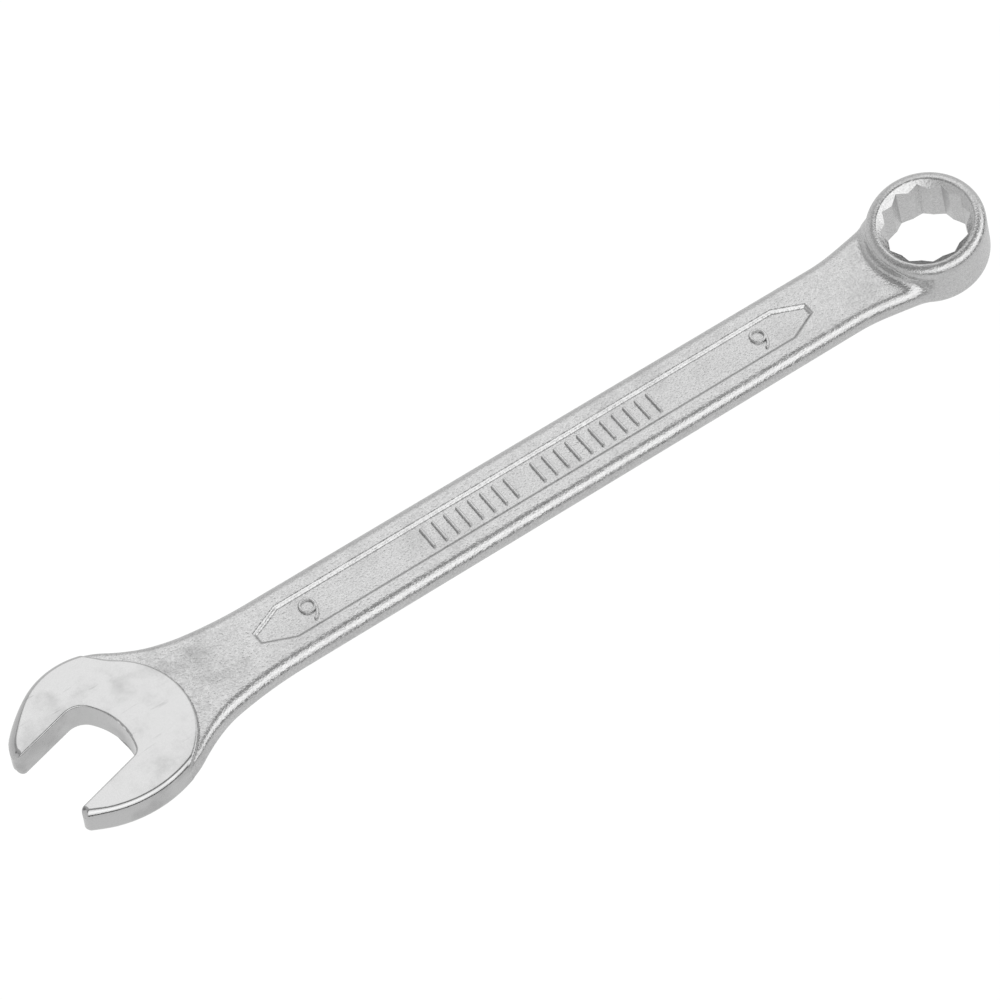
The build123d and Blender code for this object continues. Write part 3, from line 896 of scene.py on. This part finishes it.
def facing(toward):
    """How far the sky direction points along a fixed direction: their dot product."""
    node = add(tent, "ShaderNodeVectorMath", operation="DOT_PRODUCT")
    tent.links.new(tent_direction, node.inputs[0])
    node.inputs[1].default_value = toward
    return node.outputs["Value"]


def ease(value, low, high, to_low, to_high):
    """A smooth change from to_low to to_high as value goes from low to high."""
    node = add(tent, "ShaderNodeMapRange", interpolation_type="SMOOTHSTEP")
    tent.links.new(value, node.inputs["Value"])
    for label, number in (("From Min", low), ("From Max", high), ("To Min", to_low), ("To Max", to_high)):
        node.inputs[label].default_value = number
    return node.outputs[0]


DARKEST = 0.05
up = facing((0, 0, 1))
ahead_x, ahead_y = facing((1, 0, 0)), facing((0, 1, 0))
wall_light = ease(up, 0.45, 0.78, 0.76, 1.36)
key_side = ease(facing((0.3, -0.95, 0.0)), 0.05, 0.45, 0.0, 1.0)
key_band = math_node(tent, "MULTIPLY", ease(up, 0.2, 0.36, 0.0, 0.68), ease(up, 0.6, 0.85, 1.0, 0.0))
low_gap = ease(up, 0.14, 0.34, 0.74, 0.0)
key = math_node(tent, "MULTIPLY", key_side, math_node(tent, "SUBTRACT", key_band, low_gap))
strip_near_x = ease(math_node(tent, "ABSOLUTE", ahead_y), 0.2, 0.36, 1.0, 0.0)
strip_near_x = math_node(tent, "MULTIPLY", strip_near_x, ease(ahead_x, 0.5, 0.75, 1.0, 0.0))
strip_behind = ease(ahead_x, -0.08, 0.12, 0.75, 0.0)
strip_behind = math_node(tent, "MULTIPLY", strip_behind, ease(ahead_y, -0.2, 0.1, 0.0, 1.0))
overhead = math_node(tent, "MAXIMUM", strip_near_x, strip_behind)
overhead = math_node(tent, "MULTIPLY", overhead, ease(up, 0.45, 0.68, 0.0, 1.05))
level = math_node(tent, "SUBTRACT", math_node(tent, "ADD", wall_light, key), overhead)
tent.links.new(math_node(tent, "MAXIMUM", level, DARKEST), tent_background.inputs["Strength"])
tent_background.inputs["Color"].default_value = (1, 1, 1, 1)
bpy.context.scene.view_settings.view_transform = "Standard"
print("tent of", len(tent.nodes), "nodes")

# %% [markdown]
# ## The camera
# The camera stands 35 cm away, in front and to the left, and looks down at 55 degrees through a
# long lens. Its three axes come from two turns and a small roll, and its place is measured along
# those axes.

# %% Camera
AZIMUTH, ELEVATION, ROLL = 35.834, 55.27, 0.269  # degrees
CAMERA_ACROSS, CAMERA_UP, CAMERA_BACK = 41.69, 25.529, 348.846
FRAME_OFFSET = np.array([0.62, 0.01, 0.7])  # the open head's centre, from where those three are measured
LENS_TO_SENSOR, SENSOR_WIDTH = 3.345075, 36.0
NEAREST, FARTHEST = 0.01, 20  # metres
azimuth, elevation, roll = math.radians(AZIMUTH), math.radians(ELEVATION), math.radians(ROLL)
right = np.array([math.cos(azimuth), -math.sin(azimuth), 0])
over = np.array(
    [math.sin(azimuth) * math.sin(elevation), math.cos(azimuth) * math.sin(elevation), math.cos(elevation)]
)
back = np.cross(right, over)
cos_roll, sin_roll = math.cos(roll), math.sin(roll)
right, over = right * cos_roll - over * sin_roll, right * sin_roll + over * cos_roll
camera_offset = CAMERA_ACROSS * right + CAMERA_UP * over + CAMERA_BACK * back
camera_point = to_row(camera_offset - FRAME_OFFSET)
camera_data = bpy.data.cameras.new("camera")
camera_data.sensor_width = SENSOR_WIDTH
camera_data.lens = LENS_TO_SENSOR * SENSOR_WIDTH
camera_data.clip_start, camera_data.clip_end = NEAREST, FARTHEST
camera = bpy.data.objects.new("camera", camera_data)
placed = np.eye(4)
placed[:3] = np.stack([right, over, back, camera_point], 1)
camera.matrix_world = Matrix(placed.tolist())
bpy.context.scene.collection.objects.link(camera)
bpy.context.scene.camera = camera
print("camera at", camera_point.round(4), "m")
